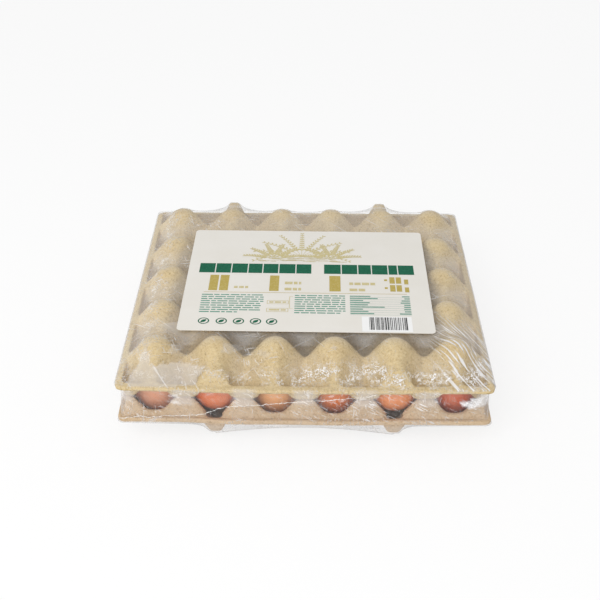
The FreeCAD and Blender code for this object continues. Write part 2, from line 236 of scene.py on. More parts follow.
def pulp_tray(node, name, material, seed):
    piece = bpy.data.objects.new(name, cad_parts[node].data.copy())
    bpy.context.scene.collection.objects.link(piece)
    remesh = piece.modifiers.new("even cells", "REMESH")
    remesh.mode = "VOXEL"
    remesh.voxel_size = CELL * MM
    apply_modifiers(piece)
    points = points_of(piece.data)
    height = points[:, 2] - SEAM / MM
    out = np.maximum(np.abs(points[:, 0]), np.abs(points[:, 1]))
    cup = np.clip((141 - out) / 3, 0, 1) * np.clip((np.abs(height) - 3) / 3, 0, 1)
    edges = edges_of(piece.data)
    points = relax(points, edges, 0.12 + 0.5 * cup, 26)
    slow = np.column_stack([swell(points, 45, seed + k) for k in range(3)])
    fine = np.column_stack([swell(points, 7, seed + 3 + k) for k in range(3)])
    free = np.clip((np.abs(height) - 1) / 12, 0, 1)[:, None]
    reach = np.clip((37 - np.abs(height)) / 8, 0.15, 1)[:, None]
    points += free * reach * (0.55 * slow * [0.6, 0.6, 1.0] + 0.16 * fine)
    rise = np.abs(height)
    lip = np.clip((out - 143) / 2, 0, 1) * np.clip((15.9 - rise) / 1.2, 0, 1) * (rise > 11)
    points[:, 2] -= LIP * lip * np.sign(height)
    piece.data.vertices.foreach_set("co", (front_bow(points) * MM).ravel())
    thin_out = piece.modifiers.new("fewer cells", "DECIMATE")
    thin_out.ratio = min(1.0, TRAY_TRIANGLES / triangles(piece.data))
    apply_modifiers(piece)
    piece.data.polygons.foreach_set("use_smooth", [True] * len(piece.data.polygons))
    finish_piece(piece, material, [node])
    print(name, triangles(piece.data), "triangles")
    return piece


upper_tray = pulp_tray("upper_tray", "upper_tray_pulp", upper_pulp, seed=11)
lower_tray = pulp_tray("lower_tray", "lower_tray_pulp", lower_pulp, seed=29)

# %% [markdown]
# ## Brown eggs
# Eggshell is calcite under a thin dry bloom: silky, not glossy, with tiny pores. A hen lays one
# shade for life, and thirty eggs come from many hens, so the shells run from pale pinkish peach to
# deep orange brown, each with faint darker speckles. An egg is two half ellipsoids that share their
# widest ring, the blunt one shorter, and it is drawn by turning that outline round the long axis.

# %% Eggshell material
def eggshell(name, shade, speckle):
    material, surface = new_material(name)
    place = add_node(material, "ShaderNodeTexCoord").outputs["Object"]
    bloom = add_node(material, "ShaderNodeTexNoise", {
        "Vector": place, "Scale": per_metre(14), "Detail": 2.0})
    speckles = add_node(material, "ShaderNodeTexNoise", {
        "Vector": place, "Scale": per_metre(1.5), "Detail": 3.0, "Roughness": 0.65})
    pores = add_node(material, "ShaderNodeTexNoise", {
        "Vector": place, "Scale": per_metre(0.8), "Detail": 2.0})
    spotted = add_node(material, "ShaderNodeMapRange", {
        "Value": speckles.outputs["Fac"], "From Min": 0.58, "From Max": 0.75, "To Max": 0.45})
    faded = add_node(material, "ShaderNodeMapRange", {
        "Value": bloom.outputs["Fac"], "From Min": 0.35, "From Max": 0.7, "To Max": 0.22})
    tint = add_node(material, "ShaderNodeMix", {
        "Factor": faded.outputs["Result"], COLOUR_A: linear(shade), COLOUR_B: linear("#F3D2BC")},
        data_type="RGBA")
    tint = add_node(material, "ShaderNodeMix", {
        "Factor": spotted.outputs["Result"], COLOUR_A: tint.outputs[MIXED], COLOUR_B: linear(speckle)},
        data_type="RGBA")
    relief = add_node(material, "ShaderNodeBump", {
        "Height": pores.outputs["Fac"], "Strength": 0.25, "Distance": 0.15 * MM})
    material.node_tree.links.new(tint.outputs[MIXED], surface.inputs["Base Color"])
    material.node_tree.links.new(relief.outputs["Normal"], surface.inputs["Normal"])
    surface.inputs["Roughness"].default_value = 0.45
    surface.inputs["IOR"].default_value = 1.5
    return material


SHELL_SHADES = {
    "pinkish": ("#E8A684", "#C07E5C"),
    "rust": ("#DE6C2C", "#AA4A1C"),
    "peach": ("#F4B47C", "#CE8853"),
    "orange": ("#E67D38", "#B75A26"),
    "salmon": ("#EA8A48", "#BC6232"),
    "deep": ("#D9581C", "#9E3E14"),
}
shells = [eggshell(f"eggshell_{name}", *shades) for name, shades in SHELL_SHADES.items()]

# %% Eggs
EGG_LENGTH, EGG_WIDTH, EGG_BLUNT_SHARE = 54.0, 42.0, 0.44
COLUMN_PITCH, ROW_PITCH = 47.5, 55.0
# lean in degrees, shift to the front, height of the widest ring from the seam
UPRIGHT = (10.0, 2.0, -0.83)
OVER_LUG = (55.0, 5.0, -1.23)
EGG_BOW_SHARE = 0.5          # the front eggs sink with the bowed wall, but less than it
RINGS, SIDES = 22, 36


def egg(name, x, y, lean, shift, height):
    points = []
    for ring in range(1, RINGS):
        latitude = math.pi * (ring / RINGS - 0.5)
        half_length = EGG_LENGTH * (EGG_BLUNT_SHARE if latitude > 0 else 1 - EGG_BLUNT_SHARE)
        radius = EGG_WIDTH / 2 * math.cos(latitude)
        ring_height = half_length * math.sin(latitude)
        turns = [2 * math.pi * k / SIDES for k in range(SIDES)]
        points += [(radius * math.cos(t), radius * math.sin(t), ring_height) for t in turns]
    ends = [(0, 0, -EGG_LENGTH * (1 - EGG_BLUNT_SHARE)), (0, 0, EGG_LENGTH * EGG_BLUNT_SHARE)]
    faces = [(r * SIDES + k, r * SIDES + (k + 1) % SIDES,
              (r + 1) * SIDES + (k + 1) % SIDES, (r + 1) * SIDES + k)
             for r in range(RINGS - 2) for k in range(SIDES)]
    low, high = len(points), len(points) + 1
    top = (RINGS - 2) * SIDES
    faces += [(low, (k + 1) % SIDES, k) for k in range(SIDES)]
    faces += [(high, top + k, top + (k + 1) % SIDES) for k in range(SIDES)]
    turned = np.array(points + ends) @ np.array(Matrix.Rotation(math.radians(lean), 3, "X")).T
    return mesh_piece(name, turned + [x, y - shift, height + SEAM / MM], faces)


for row in range(5):
    for column in range(6):
        seat = OVER_LUG if row == 0 and column in (1, 4) else UPRIGHT
        node = f"egg_row{row + 1}_column{column + 1}"
        lean, shift, height = seat
        x, y = (column - 2.5) * COLUMN_PITCH, (row - 2) * ROW_PITCH
        if row == 0:
            height -= EGG_BOW_SHARE * BOW * math.cos(math.pi / 2 * x / BOW_HALF) ** 2
        piece = egg(f"shell_{row + 1}_{column + 1}", x, y, lean, shift, height)
        finish_piece(piece, shells[(column + 2 * row) % 6], [node])
print("eggs:", 30, "of", triangles(piece.data), "triangles")

# %% [markdown]
# ## Film drawn over the cups
# Shrink film is a taut skin. Where nothing holds it up, it takes the shape of a soap film: each
# point lies at the mean height of its neighbours. So the film is a grid of heights that starts
# high, and is averaged again and again, but never sinks below the tray under it. The tray's heights
# are read from its finished mesh. The film runs over the cup tips and the lugs, down to the flange,
# and is drawn in a little between the two flanges, most of all at the four corners.

# %% Heights under the film
FILM_CELLS = 172
FILM_HALF = 147.9            # mm, middle of the pack to the film's side
FLANGE = 16.9                # mm, seam to the outer face of a flange
CLEAR = 0.35                 # mm, film to pulp
GRID = np.linspace(-FILM_HALF, FILM_HALF, FILM_CELLS + 1)


def heights_of(piece, upward):
    """Highest points of a tray's outer side in each cell of the film's grid."""
    points = points_of(piece.data)
    rise = (points[:, 2] - SEAM / MM) * (1 if upward else -1)
    column = np.rint((points[:, 0] + FILM_HALF) / (2 * FILM_HALF) * FILM_CELLS).astype(int)
    line = np.rint((points[:, 1] + FILM_HALF) / (2 * FILM_HALF) * FILM_CELLS).astype(int)
    field = np.zeros((FILM_CELLS + 1, FILM_CELLS + 1))
    np.maximum.at(field, (np.clip(column, 0, FILM_CELLS), np.clip(line, 0, FILM_CELLS)), rise)
    return field


def taut(field, rounds=1500):
    """The film's heights over a field of tray heights, held at its rim by the flange."""
    field = field + CLEAR
    film = np.full_like(field, 38.1)
    for rim in (np.s_[0, :], np.s_[-1, :], np.s_[:, 0], np.s_[:, -1]):
        film[rim] = FLANGE + CLEAR
    for _ in range(rounds):
        mean = (film[:-2, 1:-1] + film[2:, 1:-1] + film[1:-1, :-2] + film[1:-1, 2:]) / 4
        film[1:-1, 1:-1] = np.maximum(mean, field[1:-1, 1:-1])
    return np.minimum(film, 38.5)


def stand_off(film, field):
    """How far the film stands off the pulp, evened out over cells that hold no tray point."""
    for axis in (0, 1):
        field = np.maximum(field, np.maximum(np.roll(field, 1, axis), np.roll(field, -1, axis)))
    gap = np.maximum(film - field, 0)
    for _ in range(3):
        gap = (gap + np.roll(gap, 1, 0) + np.roll(gap, -1, 0) + np.roll(gap, 1, 1) + np.roll(gap, -1, 1)) / 5
    return gap


LUG_X, LUG_Y, LUG_RISE, LUG_DIP = 71.25, -139.0, 32.9, 7.5
upper_field = heights_of(upper_tray, upward=True)
lower_field = heights_of(lower_tray, upward=False)
across = np.abs(GRID) < LUG_X
strip = np.argmin(np.abs(GRID - LUG_Y))
lower_field[across, strip] = LUG_RISE - LUG_DIP * np.sin(math.pi * (GRID[across] / LUG_X + 1) / 2)
film_above, film_below = taut(upper_field), taut(lower_field)
gap_above, gap_below = stand_off(film_above, upper_field), stand_off(film_below, lower_field)
print("film stands off the pulp by up to", round(float(gap_above.max()), 1), "mm")

# %% [markdown]
# The film's mesh is the upper grid, the lower grid, and a band of rows between their rims. Each
# point also carries four numbers for the material: how much painted crinkle glint, how much painted
# reflection, how much painted fold highlight and how scratched the film is there. Painted white glints
# run along the lower slopes of the front cups, where shrinking bunched the film up, and pale patches of
# painted reflection lie there. Painted reflection whitens the film where it bridges a pit, and painted
# highlights of long folds lie at the front right corner.

# %% Film mesh
def rounded(x, y, corner=5.8):
    """Moves points near a corner of the square rim onto its round corner."""
    inner = FILM_HALF - corner
    dx, dy = np.abs(x) - inner, np.abs(y) - inner
    reach = np.hypot(np.maximum(dx, 0), np.maximum(dy, 0))
    shrink = np.where((dx > 0) & (dy > 0), np.minimum(1, np.maximum(dx, dy) / np.maximum(reach, 1e-6)), 1)
    x = np.where(dx > 0, np.sign(x) * (inner + dx * shrink), x)
    y = np.where(dy > 0, np.sign(y) * (inner + dy * shrink), y)
    return x, y


def grid_points(film, sign):
    x, y = np.meshgrid(GRID, GRID, indexing="ij")
    x, y = rounded(x, y)
    return np.column_stack([x.ravel(), y.ravel(), sign * film.ravel()])


def grid_index(i, j):
    return i * (FILM_CELLS + 1) + j


def rim_indices():
    n = FILM_CELLS
    rim = [grid_index(i, 0) for i in range(n)] + [grid_index(n, j) for j in range(n)]
    return rim + [grid_index(i, n) for i in range(n, 0, -1)] + [grid_index(0, j) for j in range(n, 0, -1)]


def film_piece():
    above, below = grid_points(film_above, 1), grid_points(film_below, -1)
    rim = rim_indices()
    points, rows = [above, below], [rim]
    size = (FILM_CELLS + 1) ** 2
    edge = above[rim]
    corner = np.hypot(FILM_HALF - np.abs(edge[:, 0]), FILM_HALF - np.abs(edge[:, 1]))
    drawn_in = 0.8 + 4.2 * np.exp(-((corner / 14) ** 2))
    levels = np.linspace(1, -1, 15)[1:-1]
    for k, level in enumerate(levels):
        pull = drawn_in * (1 - level**2) ** 0.7
        row = edge.copy()
        row[:, :2] *= (1 - pull / FILM_HALF)[:, None]
        row[:, 2] = level * (FLANGE + CLEAR)
        points.append(row)
        rows.append([2 * size + k * len(rim) + m for m in range(len(rim))])
    rows.append([size + m for m in rim])
    n = FILM_CELLS
    faces = []
    for i in range(n):
        for j in range(n):
            quad = (grid_index(i, j), grid_index(i + 1, j), grid_index(i + 1, j + 1), grid_index(i, j + 1))
            faces += [quad, tuple(size + m for m in reversed(quad))]
    for high, low in zip(rows, rows[1:]):
        for m in range(len(rim)):
            after = (m + 1) % len(rim)
            faces.append((high[m], low[m], low[after], high[after]))
    points = np.vstack(points)
    points[:, 2] += SEAM / MM
    return mesh_piece("film_skin", front_bow(points), faces)


film = film_piece()
print("film", triangles(film.data), "triangles")


# %% Where the film gets painted glints and painted reflection
def near(value, middle, spread):
    return np.exp(-(((value - middle) / spread) ** 2))


# outlines of pale patches of painted reflection on the front, as x and height over the seam
FRONT_REFLECTION_PATCHES = [
    [(-138, 18.9), (-131, 24.6), (-127, 32.6), (-121, 32.2), (-122, 26.4), (-115, 26.5), (-98, 27.7),
     (-78, 25.5), (-83, 20.9), (-85, 17.6), (-137, 17.6)],
    [(-37, 33.1), (-26, 33.2), (-31, 29.4), (-37, 31.3)],
    [(-108, 31.8), (-103, 35.6), (-96, 32.3), (-103, 30.5)],
    [(-63, 37), (-49, 32.4), (-57, 31.2), (-66, 32.9)],
]
# outline of a patch of painted glare and glints at the front right corner
CORNER_GLARE_PATCH = [(120, 5.7), (131, 7.6), (142, 11.5), (143, -0.6), (134, -2.6), (123, 1.1)]


def inside(x, z, outline):
    """Even-odd rule: a point is inside if a ray to its right crosses the outline an odd number of times."""
    crossings = np.zeros(len(x), dtype=int)
    for (x0, z0), (x1, z1) in zip(outline, outline[1:] + outline[:1]):
        spans = (z0 > z) != (z1 > z)
        crossings += spans & (x < x0 + (z - z0) * (x1 - x0) / (z1 - z0 if z1 != z0 else 1))
    return crossings % 2


def film_masks(piece):
    x, y, z = points_of(piece.data).T
    z = z - SEAM / MM
    front, top = y < -112, z > FLANGE
    band = np.abs(z) < FLANGE - 1
    to_right = np.clip((x + 60) / 90, 0, 1)
    # a band of painted white glints along the lower slopes of the front cups, wider to the right
    line = z - (21.8 + 1.6 * np.sin(x / 19) + 1.2 * np.sin(x / 7.3))
    crinkle_glint = front * top * near(line, 0, 2.4 + 2.4 * to_right) * (0.45 + 0.55 * to_right)
    # painted highlights along the crests of the left column and the back row
    crest_highlights = np.maximum(near(x, -128, 7), near(y, 128, 7)) * (z > 27)
    crinkle_glint = np.maximum(crinkle_glint, 0.55 * crest_highlights)
    # painted reflection of the white sky where the film stands off the pulp; place sets how much, by region
    gap = np.concatenate([gap_above.ravel(), gap_below.ravel(), np.zeros(len(x) - 2 * gap_above.size)])
    place = np.where(y < -82, 0.45, 0.12)
    place = np.where(np.abs(x) > 120, 0.3, place)
    place = np.where(y > 122, 0.8, np.where(front, 0.15, place))
    painted_reflection = place * np.clip((gap - 2) / 10, 0, 1)
    # painted reflection over the front band between the windows, stronger on the upper tray's wall
    to_window = np.abs((x / COLUMN_PITCH) % 1 - 0.5) * COLUMN_PITCH
    wall = np.clip((to_window - 13) / 5, 0, 1)
    painted_reflection = np.maximum(painted_reflection, band * wall * np.where(z > 0.5, 0.6, 0.1))
    # pale patches of painted reflection on the front, the first one stronger, and painted glare at the front
    # right corner
    reflection_patches = sum(inside(x, z, outline) for outline in FRONT_REFLECTION_PATCHES) * front * top
    corner = inside(x, z, CORNER_GLARE_PATCH) * (y < -140)
    strongest_reflection = inside(x, z, FRONT_REFLECTION_PATCHES[0]) * front * top
    painted_reflection = np.maximum(painted_reflection, np.maximum(0.35 * reflection_patches + 0.3 * strongest_reflection, 1.2 * corner))
    crinkle_glint = np.maximum(crinkle_glint * (1 - 0.5 * np.clip(reflection_patches, 0, 1)), 0.8 * corner)
    # painted highlights of long folds at the front right corner
    fold_highlight = np.clip((x - 96) / 20, 0, 1) * np.clip((-62 - y) / 30, 0, 1) * top
    scratch = band * front * (0.35 + 0.65 * to_right) * (0.55 + 0.45 * wall)
    for name, values in (("crinkle_glint", crinkle_glint), ("painted_reflection", painted_reflection), ("fold_highlight", fold_highlight), ("scratch", scratch)):
        layer = piece.data.attributes.new(name, "FLOAT", "POINT")
        layer.data.foreach_set("value", values.astype(np.float32))


film_masks(film)

# %% [markdown]
# ## Polyolefin shrink film
# Clear polyolefin, IOR 1.5, smooth as glass. One layer is all but invisible face on, so its alpha
# is low, and it rises where the film is seen edge on, as the Layer Weight node tells; the white it
# shows there is painted reflection. Painted highlights of stretch marks are thin white lines a
# millimetre or two wide, and the scratches are drawn the same way. They come from noise that is
# squeezed across and drawn out along one direction, which the Mapping node does in its texture mode,
# where the scale is a real size. Each family of streaks has its own direction, size and place.

# %% Film material
# white streaks, painted highlights except those placed by scratch, which are scratches: turn in degrees
# about X, Y and Z; length, width and depth of a streak in mm; level; strength; place
HIGHLIGHT_AND_SCRATCH_STREAKS = [
    ((0, 0, -52), (60, 1.7, 20), 0.67, 0.30, None),
    ((0, 0, 34), (45, 1.9, 20), 0.68, 0.28, None),
    ((0, 0, 8), (16, 1.3, 4), 0.60, 0.30, "fine"),
    ((0, 0, -68), (12, 1.3, 4), 0.61, 0.30, "fine"),
    ((0, 0, -51), (34, 1.7, 12), 0.54, 0.75, "fold_highlight"),
    ((0, 30, 0), (9, 40, 1.1), 0.60, 0.55, "scratch"),
    ((0, 82, 0), (7, 40, 1.2), 0.64, 0.35, "scratch"),
]


def shrink_film():
    material, surface = new_material("polyolefin_shrink_film")
    place = add_node(material, "ShaderNodeTexCoord").outputs["Object"]
    masks = {name: add_node(material, "ShaderNodeAttribute", attribute_name=name).outputs["Fac"]
             for name in ("crinkle_glint", "painted_reflection", "fold_highlight", "scratch")}
    patches = add_node(material, "ShaderNodeTexNoise", {
        "Vector": place, "Scale": per_metre(26), "Detail": 2.0})
    masks["fine"] = add_node(material, "ShaderNodeMapRange", {
        "Value": patches.outputs["Fac"], "From Min": 0.5, "From Max": 0.6}).outputs["Result"]
    # painted glints of crinkled film: small white specks in clumps, where the crinkle glint mask allows
    short = add_node(material, "ShaderNodeTexNoise", {
        "Vector": place, "Scale": per_metre(2.4), "Detail": 2.0, "Roughness": 0.6, "Distortion": 2.2})
    glint_specks = add_node(material, "ShaderNodeMapRange", {
        "Value": short.outputs["Fac"], "From Min": 0.5, "From Max": 0.57})
    clumps = add_node(material, "ShaderNodeTexNoise", {
        "Vector": place, "Scale": per_metre(9), "Detail": 2.0})
    clumped = add_node(material, "ShaderNodeMapRange", {
        "Value": clumps.outputs["Fac"], "From Min": 0.4, "From Max": 0.54, "To Max": 0.95})
    light = add_node(material, "ShaderNodeMath", {
        0: glint_specks.outputs["Result"], 1: clumped.outputs["Result"]}, operation="MULTIPLY")
    light = add_node(material, "ShaderNodeMath", {
        0: light.outputs["Value"], 1: masks["crinkle_glint"]}, operation="MULTIPLY")
    for turn, size, level, strength, where in HIGHLIGHT_AND_SCRATCH_STREAKS:
        drawn = add_node(material, "ShaderNodeMapping", {
            "Vector": place, "Rotation": [math.radians(angle) for angle in turn],
            "Scale": [side * MM for side in size]}, vector_type="TEXTURE")
        noise = add_node(material, "ShaderNodeTexNoise", {
            "Vector": drawn.outputs["Vector"], "Scale": 1.0, "Detail": 2.0, "Roughness": 0.5})
        mark = add_node(material, "ShaderNodeMapRange", {
            "Value": noise.outputs["Fac"], "From Min": level, "From Max": level + 0.07, "To Max": strength})
        if where:
            mark = add_node(material, "ShaderNodeMath", {0: mark.outputs["Result"], 1: masks[where]},
                            operation="MULTIPLY")
        light = add_node(material, "ShaderNodeMath", {0: light.outputs["Value"], 1: mark.outputs[0]},
                         operation="MAXIMUM")
    # painted reflection: white that rises where the film is seen edge on and where painted reflection is set
    facing = add_node(material, "ShaderNodeLayerWeight", {"Blend": 0.3}).outputs["Facing"]
    edge_on = add_node(material, "ShaderNodeMapRange", {
        "Value": facing, "From Min": 0.1, "From Max": 0.9, "To Min": 0.04, "To Max": 0.45})
    reflection_veil = add_node(material, "ShaderNodeMath", {
        0: masks["painted_reflection"], 1: 0.42, 2: edge_on.outputs["Result"]}, operation="MULTIPLY_ADD")
    alpha = add_node(material, "ShaderNodeMath", {
        0: reflection_veil.outputs["Value"], 1: light.outputs["Value"]}, operation="ADD", use_clamp=True)
    wrinkles = add_node(material, "ShaderNodeTexNoise", {
        "Vector": place, "Scale": per_metre(6), "Detail": 3.0, "Distortion": 0.8})
    relief = add_node(material, "ShaderNodeBump", {
        "Height": wrinkles.outputs["Fac"], "Strength": 0.5, "Distance": 1.0 * MM})
    material.node_tree.links.new(alpha.outputs["Value"], surface.inputs["Alpha"])
    material.node_tree.links.new(relief.outputs["Normal"], surface.inputs["Normal"])
    # white, the colour of the film's painted reflection and painted highlights
    surface.inputs["Base Color"].default_value = linear("#F1F1F2")
    surface.inputs["Roughness"].default_value = 0.12
    surface.inputs["IOR"].default_value = 1.5
    return material


film_material = shrink_film()
finish_piece(film, film_material, ["film_wrap"])

# %% [markdown]
# ## The weld across the front
# Where the two ends of the film were welded, a thin bead wanders across the front wall. It is
# thicker than the film, so it shows white. It is a narrow ribbon that follows the wall's film, from
# the left corner up to the flange, with a small random zigzag.

# %% Weld bead
WELD_LINE = [(-145.7, -12.4), (-86.5, -8.5), (-77.9, -7.0), (-69.9, -3.3), (-61.2, 0.6), (-50.3, 1.4),
             (-6.7, 6.2), (38.9, 10.5), (55.0, 13.1)]
WELD_WIDTH = 0.8             # mm


def weld_bead():
    knots = np.array(WELD_LINE)
    x = np.linspace(knots[0, 0], knots[-1, 0], 260)
    z = np.interp(x, knots[:, 0], knots[:, 1])
    wander = np.column_stack([x, x * 0, x * 0])
    restless = 0.7 + 0.6 * swell(wander, 21.0, 8)
    z = z + 1.1 * restless * swell(wander, 2.1, 5) + 0.6 * swell(wander, 6.0, 6)
    width = WELD_WIDTH * (0.75 + 0.45 * swell(wander, 3.1, 7))
    y = -FILM_HALF + 0.8 * (1 - (z / FLANGE) ** 2) ** 0.7 - 0.25
    low = np.column_stack([x, y, z - width / 2 + SEAM / MM])
    high = np.column_stack([x, y, z + width / 2 + SEAM / MM])
    count = len(x)
    faces = [(k, k + 1, count + k + 1, count + k) for k in range(count - 1)]
    return mesh_piece("film_weld", front_bow(np.vstack([low, high])), faces)


weld_material, weld_surface = new_material("welded_film_bead")
weld_surface.inputs["Base Color"].default_value = linear("#F2F1EE")
weld_surface.inputs["Roughness"].default_value = 0.3
weld_noise = add_node(weld_material, "ShaderNodeTexNoise", {
    "Vector": add_node(weld_material, "ShaderNodeTexCoord").outputs["Object"],
    "Scale": per_metre(2.2), "Detail": 2.0})
weld_alpha = add_node(weld_material, "ShaderNodeMapRange", {
    "Value": weld_noise.outputs["Fac"], "From Min": 0.35, "From Max": 0.6, "To Min": 0.25, "To Max": 0.9})
weld_material.node_tree.links.new(weld_alpha.outputs["Result"], weld_surface.inputs["Alpha"])
finish_piece(weld_bead(), weld_material)

# %% [markdown]
# ## Label
# The label is a sheet of coated paper, slightly warm and barely shiny, stuck flat across the cup
# tips. Its CAD solid is right as it is and gets the paper's material. The print is generic: blocks
# of green and gold in the places where such a label has its title, figures, small print and bars,
# with sheaves of leafy stems above. Each ink is one thin mesh of flat shapes on the
# paper, which keeps the edges crisp at any size, and is easier to change than a painted texture.

# %% Label paper
def coated_paper():
    material, surface = new_material("coated_label_paper")
    place = add_node(material, "ShaderNodeTexCoord").outputs["Object"]
    cloud = add_node(material, "ShaderNodeTexNoise", {
        "Vector": place, "Scale": per_metre(30), "Detail": 2.0})
    tooth = add_node(material, "ShaderNodeTexNoise", {
        "Vector": place, "Scale": per_metre(1.2), "Detail": 2.0})
    tint = add_node(material, "ShaderNodeMix", {
        "Factor": cloud.outputs["Fac"], COLOUR_A: linear("#E3DFD6"), COLOUR_B: linear("#EBE8E2")},
        data_type="RGBA")
    relief = add_node(material, "ShaderNodeBump", {
        "Height": tooth.outputs["Fac"], "Strength": 0.1, "Distance": 0.1 * MM})
    material.node_tree.links.new(tint.outputs[MIXED], surface.inputs["Base Color"])
    material.node_tree.links.new(relief.outputs["Normal"], surface.inputs["Normal"])
    surface.inputs["Roughness"].default_value = 0.55
    surface.inputs["Specular IOR Level"].default_value = 0.3
    return material


paper = coated_paper()
label_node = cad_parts["label"]
for slot in label_node.material_slots:
    slot.material = paper
label_low, label_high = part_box("label")
print("label top at", round(label_high.z / MM, 2), "mm")

# %% Ink shapes on the label, in millimetres from its middle
LABEL_CENTRE = (1.2, -16.7)
LABEL_TURN = math.radians(-0.46)
OVERPRINT = 0.0001           # mm, so that shapes that cross don't share a plane


def bar(x0, y0, x1, y1):
    return [(x0, y0), (x1, y0), (x1, y1), (x0, y1)]


def oval(x, y, half_width, half_height, sides=48):
    turns = [2 * math.pi * k / sides for k in range(sides)]
    return [(x + half_width * math.cos(t), y + half_height * math.sin(t)) for t in turns]


def leaf(x, y, length, width, angle):
    """Pointed leaf that starts at x, y and grows along angle."""
    c, s = math.cos(angle), math.sin(angle)
    outline = [(length * t, width * math.sin(math.pi * t)) for t in np.linspace(0, 1, 9)]
    outline += [(a, -b) for a, b in outline[-2:0:-1]]
    return [(x + c * a - s * b, y + s * a + c * b) for a, b in outline]


def ring(x, y, half_width, half_height, line, sides=48):
    """A ring as quads between two ovals."""
    outer = oval(x, y, half_width, half_height, sides)
    inner = oval(x, y, half_width - line, half_height - line, sides)
    return [[outer[k - 1], outer[k], inner[k], inner[k - 1]] for k in range(sides)]


def stroke(path, line):
    """Quads of that width along a path."""
    path = np.asarray(path, dtype=float)
    along = np.gradient(path, axis=0)
    along /= np.linalg.norm(along, axis=1)[:, None]
    across = np.column_stack([-along[:, 1], along[:, 0]]) * line / 2
    left, right = path + across, path - across
    return [[left[k], left[k + 1], right[k + 1], right[k]] for k in range(len(path) - 1)]


def small_print(rng, x0, x1, y_top, lines, pitch, height, last=0.6):
    """Rows of word-long dashes, like small print seen from too far to read."""
    shapes = []
    for line in range(lines):
        y = y_top - pitch * line
        x, end = x0, x1 if line < lines - 1 else x0 + last * (x1 - x0)
        while x < end - 2:
            word = min(rng.uniform(2.5, 9.5), end - x)
            shapes.append(bar(x, y - height, x + word, y))
            x += word + 1.1
    return shapes


def ink_piece(name, shapes, ink, lift):
    c, s = math.cos(LABEL_TURN), math.sin(LABEL_TURN)
    points, faces = [], []
    for number, shape in enumerate(shapes):
        height = label_high.z / MM + lift + number * OVERPRINT
        faces.append(tuple(range(len(points), len(points) + len(shape))))
        points += [(LABEL_CENTRE[0] + c * x - s * y, LABEL_CENTRE[1] + s * x + c * y, height)
                   for x, y in shape]
    piece = mesh_piece(name, points, faces, smooth=False)
    finish_piece(piece, ink)
    return piece


# %% Printing inks
def printing_ink(name, colour, worn):
    """Offset ink soaks into the paper a little, so it is matt and its cover is faintly uneven."""
    material, surface = new_material(name)
    place = add_node(material, "ShaderNodeTexCoord").outputs["Object"]
    cover = add_node(material, "ShaderNodeTexNoise", {
        "Vector": place, "Scale": per_metre(1.6), "Detail": 3.0})
    uneven = add_node(material, "ShaderNodeMapRange", {
        "Value": cover.outputs["Fac"], "From Min": 0.45, "From Max": 0.8})
    tint = add_node(material, "ShaderNodeMix", {
        "Factor": uneven.outputs["Result"], COLOUR_A: linear(colour), COLOUR_B: linear(worn)},
        data_type="RGBA")
    material.node_tree.links.new(tint.outputs[MIXED], surface.inputs["Base Color"])
    surface.inputs["Roughness"].default_value = 0.6
    surface.inputs["Specular IOR Level"].default_value = 0.15
    return material


green_ink = printing_ink("green_printing_ink", "#075A40", "#1C6C50")
pale_green_ink = printing_ink("green_small_print", "#5F9482", "#8DB2A5")
gold_ink = printing_ink("gold_printing_ink", "#B7A356", "#C6B676")
pale_gold_ink = printing_ink("gold_line_work", "#CBBE8D", "#D8CFAE")
black_ink = printing_ink("black_printing_ink", "#1C1C1C", "#333333")
white_ink = printing_ink("white_printing_ink", "#F4F4F3", "#F7F7F6")

# %% Title blocks and figures
rng = np.random.default_rng(3)
title = []
for start, widths in ((-94.0, (13.5, 13, 13.5, 12, 13, 14, 13)), (14.5, (14.5, 13.5, 11, 13.5, 7.5, 13.5))):
    x = start
    for width in widths:
        title.append(bar(x, 7.0, x + width, 23.0))
        x += width + 0.9
ink_piece("print_title", title, green_ink, 0.06)
figures = [bar(-83.5, -22.5, -76.0, 3.0), bar(-74.5, -22.5, -67.0, 3.0), bar(-32.0, -22.5, -24.0, 3.0),
           bar(19.0, -22.0, 28.5, 3.5)]
for y_low in (-21.0, -8.0):
    figures += [bar(66.0, y_low + 4, 68.5, y_low + 7), bar(70.5, y_low, 75.0, y_low + 10.5),
                bar(76.0, y_low, 80.5, y_low + 10.5), bar(83.0, y_low - 1, 86.5, y_low + 7)]
figures.append(bar(-87.0, -25.4, 84.0, -24.9))
ink_piece("print_figures", figures, gold_ink, 0.06)
notes = small_print(rng, -62, -50, -15, 1, 4, 3.4, 1.0)
notes += small_print(rng, -19, -5, -7, 2, 10, 4.2, 1.0) + small_print(rng, 36, 58, -7, 2, 10, 4.2, 0.6)
ink_piece("print_notes", notes, pale_gold_ink, 0.06)
print("title blocks:", len(title), "figure blocks:", len(figures))

# %% Small print, table, signs and bars
text = small_print(rng, -88, -36, -28.5, 9, 3.35, 1.5)
text += small_print(rng, -10, 32, -28.5, 9, 3.35, 1.5, 0.9)
for line in range(9):
    y = -28.5 - 3.35 * line
    text.append(bar(36, y - 1.5, 36 + rng.uniform(7, 30), y))
    text.append(bar(86 - rng.uniform(4, 10), y - 1.5, 86, y))
    text.append(bar(36, y - 2.6, 86, y - 2.4))
ink_piece("print_text", text, pale_green_ink, 0.06)
signs = []
for x in (-83, -68.6, -54.7, -40.9, -27.9):
    signs += ring(x, -69.8, 4.6, 4.6, 1.0, 24)
    signs.append(leaf(x - 2.4, -72.2, 6.6, 1.7, math.radians(45)))
ink_piece("print_signs", signs, green_ink, 0.06)
boxes = []
for y in (-43, -55):
    boxes += [bar(-33, y, -15, y + 0.5), bar(-33, y + 5, -15, y + 5.5), bar(-33, y, -32.5, y + 5.5)]
    boxes += [bar(-15.5, y, -15, y + 5.5)] + small_print(rng, -31, -17, y + 4, 1, 3, 2.2, 1.0)
boxes += [bar(-14.5, -50, -14, -31), bar(-14.5, -31.4, -11.5, -31), bar(-14.5, -50, -11.5, -49.6)]
